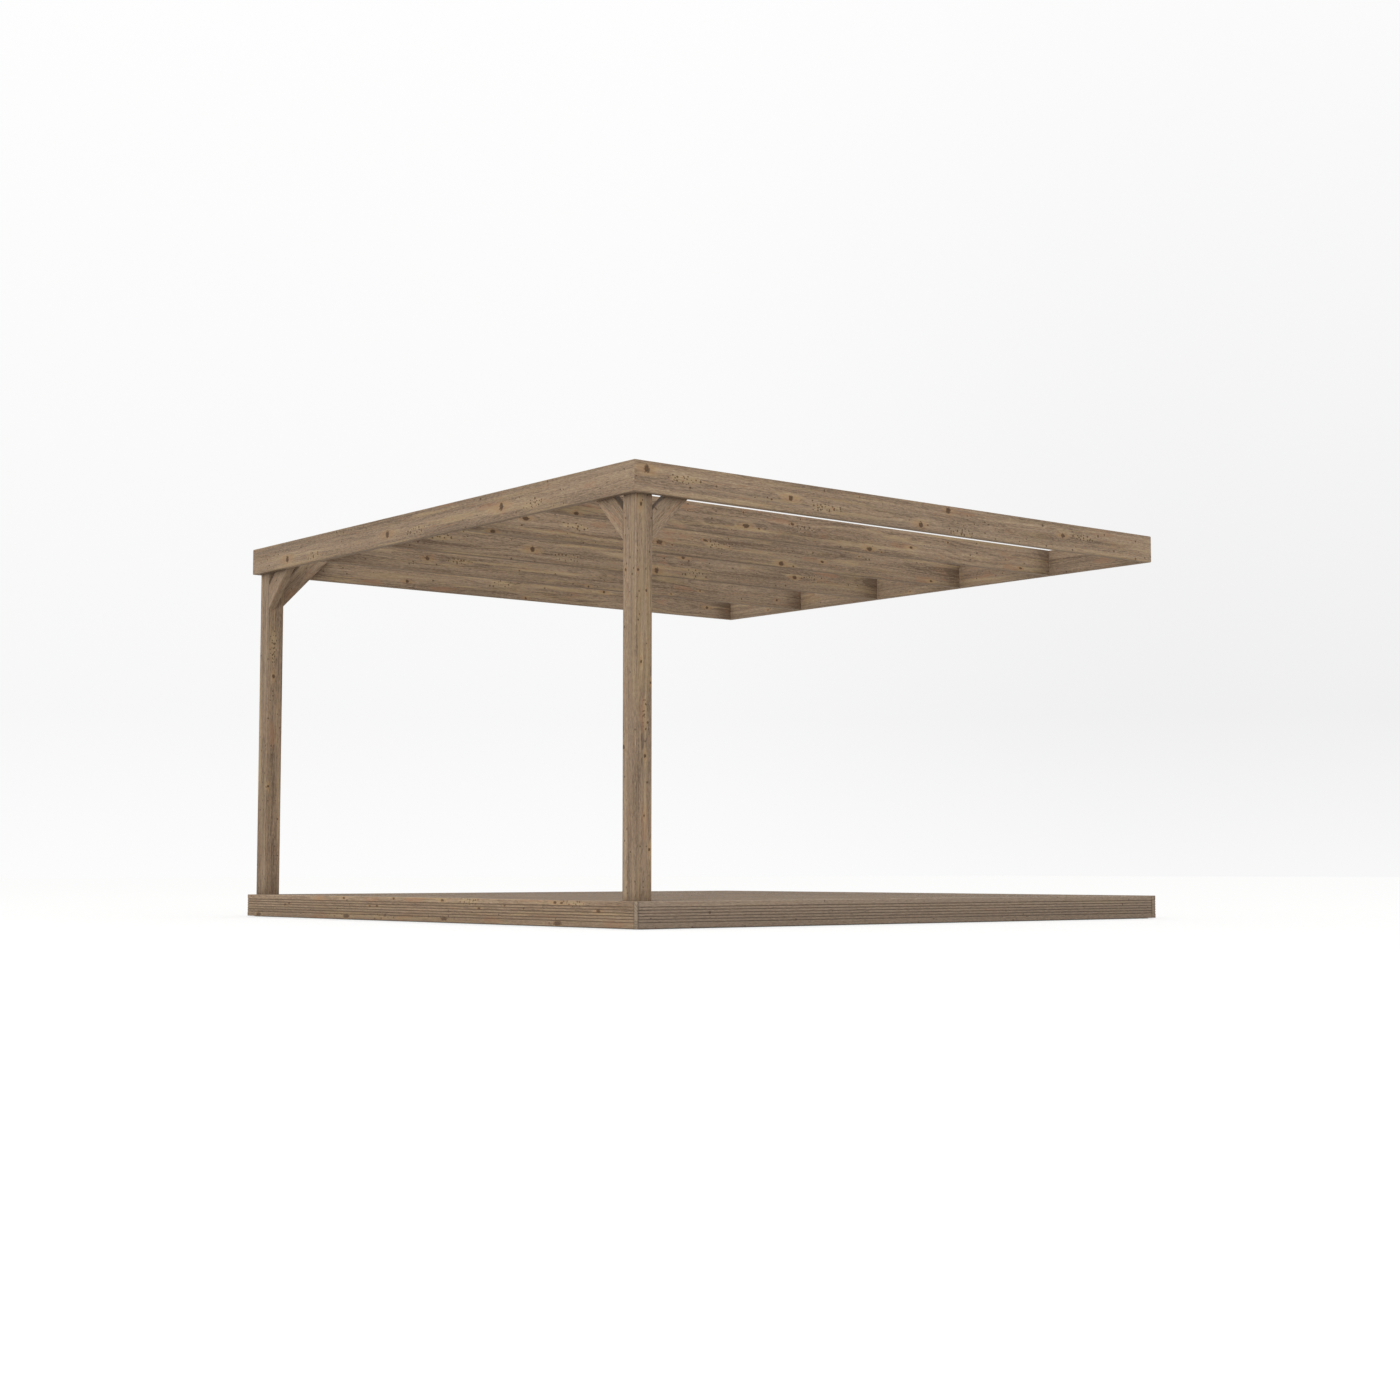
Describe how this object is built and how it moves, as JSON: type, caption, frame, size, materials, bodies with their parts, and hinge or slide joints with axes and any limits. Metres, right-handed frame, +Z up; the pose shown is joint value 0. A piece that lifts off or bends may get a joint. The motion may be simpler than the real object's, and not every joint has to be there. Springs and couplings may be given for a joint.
{
  "type": "wall-mounted timber pergola with decking",
  "caption": "Flat open-raftered pergola fixed to a wall, on two braced front posts standing on a low grooved deck.",
  "frame": {"origin": "middle of the wall plate's back face, where the pergola meets the wall", "axes": "+Z up, +X along the wall, +Y into the wall; the posts stand toward -Y"},
  "size_m": [3.641, 3.605, 2.1],
  "materials": {
    "frame_timber": "grey-brown weathered softwood, planed, with dark knots",
    "deck_timber": "grey-brown weathered softwood, grooved decking on planed joists"
  },
  "bodies": {
    "root": {"brace_left_front": "frame_timber", "brace_left_side": "frame_timber", "brace_right_front": "frame_timber", "brace_right_side": "frame_timber", "deck_boards_1": "deck_timber", "deck_boards_2": "deck_timber", "deck_boards_3": "deck_timber", "deck_boards_4": "deck_timber", "deck_joist_1": "deck_timber", "deck_joist_10": "deck_timber", "deck_joist_2": "deck_timber", "deck_joist_3": "deck_timber", "deck_joist_4": "deck_timber", "deck_joist_5": "deck_timber", "deck_joist_6": "deck_timber", "deck_joist_7": "deck_timber", "deck_joist_8": "deck_timber", "deck_joist_9": "deck_timber", "deck_rim_back": "deck_timber", "deck_rim_front": "deck_timber", "edge_board_back": "deck_timber", "edge_board_front": "deck_timber", "edge_board_left": "deck_timber", "edge_board_right": "deck_timber", "front_beam": "frame_timber", "post_left": "frame_timber", "post_right": "frame_timber", "rafter_1": "frame_timber", "rafter_2": "frame_timber", "rafter_3": "frame_timber", "rafter_4": "frame_timber", "side_beam_left": "frame_timber", "side_beam_right": "frame_timber", "wall_plate": "frame_timber"}
  },
  "joints": []
}
